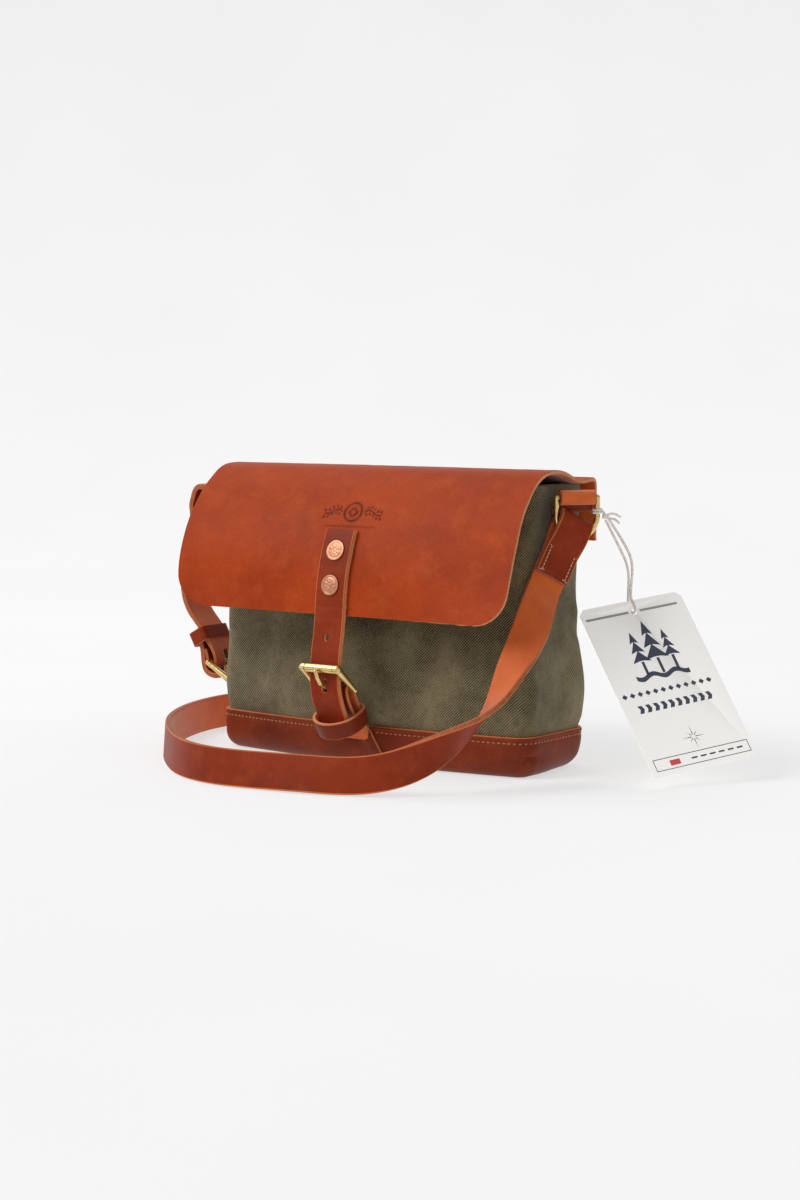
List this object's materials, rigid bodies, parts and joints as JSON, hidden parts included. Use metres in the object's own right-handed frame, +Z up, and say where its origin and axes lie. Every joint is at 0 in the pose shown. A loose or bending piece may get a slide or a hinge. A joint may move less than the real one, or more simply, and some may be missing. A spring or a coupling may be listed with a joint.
{
  "type": "satchel bag",
  "caption": "Small canvas satchel with a leather base, full-width leather flap, buckled closing strap, ring-mounted leather shoulder strap and a paper hang tag.",
  "frame": {"origin": "centre of the bag's base, on the surface it stands on", "axes": "+X to the end with the hang tag, -Y to the front with the buckle, +Z up"},
  "size_m": [0.4612, 0.3127, 0.211],
  "materials": {
    "base_leather": "smooth waxed, semi-matt",
    "strap_leather": "smooth waxed, semi-matt",
    "flap_leather": "smooth, fine grain, soft sheen",
    "canvas": "heavy cotton twill, matt",
    "lining": "plain cotton, matt",
    "board": "matt",
    "brass": "polished",
    "copper": "satin copper",
    "card": "matt card",
    "string": "waxed cotton"
  },
  "bodies": {
    "bag": {"base_leather_left": "base_leather", "base_leather_right": "base_leather", "base_board": "board", "canvas_front": "canvas", "canvas_back": "canvas", "lining": "lining", "inner_pocket": "lining", "flap_back": "flap_leather", "front_keeper": "strap_leather", "ring_tab_right": "strap_leather", "ring_tab_left": "strap_leather", "strap_end_right": "strap_leather", "strap_fold_left": "strap_leather", "buckle_strap": "strap_leather", "strap_loop": "strap_leather", "shoulder_strap_tail": "strap_leather", "shoulder_strap_1": "strap_leather", "shoulder_strap_2": "strap_leather", "shoulder_strap_3": "strap_leather", "shoulder_strap_4": "strap_leather", "shoulder_strap_5": "strap_leather", "shoulder_strap_6": "strap_leather", "shoulder_strap_7": "strap_leather", "shoulder_strap_8": "strap_leather"},
    "flap": {"flap": "flap_leather", "closing_strap": "strap_leather", "closing_strap_tail": "strap_leather", "rivet_upper": "copper", "rivet_lower": "copper", "rivet_burr_upper": "copper", "rivet_burr_lower": "copper"},
    "front_buckle": {"front_buckle_frame": "brass"},
    "front_prong": {"front_buckle_prong": "brass"},
    "front_roller": {"front_buckle_roller": "brass"},
    "ring_right": {"ring_right": "brass"},
    "ring_left": {"ring_left": "brass"},
    "strap_buckle": {"strap_buckle_frame": "brass"},
    "strap_prong": {"strap_buckle_prong": "brass"},
    "strap_roller": {"strap_buckle_roller": "brass"},
    "hang_tag": {"hang_tag": "card", "tag_string": "string", "tag_knot": "string"}
  },
  "joints": [
    {"name": "flap_hinge", "type": "hinge", "parent": "bag", "child": "flap", "pos_m": [0, 0.0409, 0.201], "axis": [-1, 0, 0], "range_deg": [0, 150], "deforming": ["closing_strap_tail"]},
    {"name": "front_buckle_swing", "type": "hinge", "parent": "bag", "child": "front_buckle", "pos_m": [0, -0.076, 0.057], "axis": [1, 0, 0], "range_deg": [-100, 15]},
    {"name": "front_prong_swing", "type": "hinge", "parent": "front_buckle", "child": "front_prong", "pos_m": [0, -0.076, 0.057], "axis": [1, 0, 0], "range_deg": [0, 50]},
    {"name": "front_roller_spin", "type": "hinge", "parent": "front_buckle", "child": "front_roller", "pos_m": [0, -0.09401, 0.07301], "axis": [1, 0, 0], "continuous": true},
    {"name": "ring_right_swing", "type": "hinge", "parent": "bag", "child": "ring_right", "pos_m": [0.1505, -0.0012, 0.1922], "axis": [0.5736, 0.8192, 0], "range_deg": [-20, 8], "deforming": ["strap_end_right"]},
    {"name": "ring_left_swing", "type": "hinge", "parent": "bag", "child": "ring_left", "pos_m": [-0.153, -0.008, 0.1955], "axis": [0, 1, 0], "range_deg": [-25, 30], "deforming": ["strap_fold_left"]},
    {"name": "strap_buckle_swing", "type": "hinge", "parent": "bag", "child": "strap_buckle", "pos_m": [-0.1645, -0.004, 0.0585], "axis": [0, 1, 0], "range_deg": [-20, 25], "deforming": ["shoulder_strap_tail"]},
    {"name": "strap_prong_swing", "type": "hinge", "parent": "strap_buckle", "child": "strap_prong", "pos_m": [-0.1645, -0.004, 0.0585], "axis": [0, 1, 0], "range_deg": [0, 45]},
    {"name": "strap_roller_spin", "type": "hinge", "parent": "strap_buckle", "child": "strap_roller", "pos_m": [-0.14377, -0.004, 0.04621], "axis": [0, 1, 0], "continuous": true},
    {"name": "hang_tag_turn", "type": "hinge", "parent": "ring_right", "child": "hang_tag", "pos_m": [0.15916, 0.01117, 0.1827], "axis": [0, 0, 1], "range_deg": [-15, 20]}
  ]
}
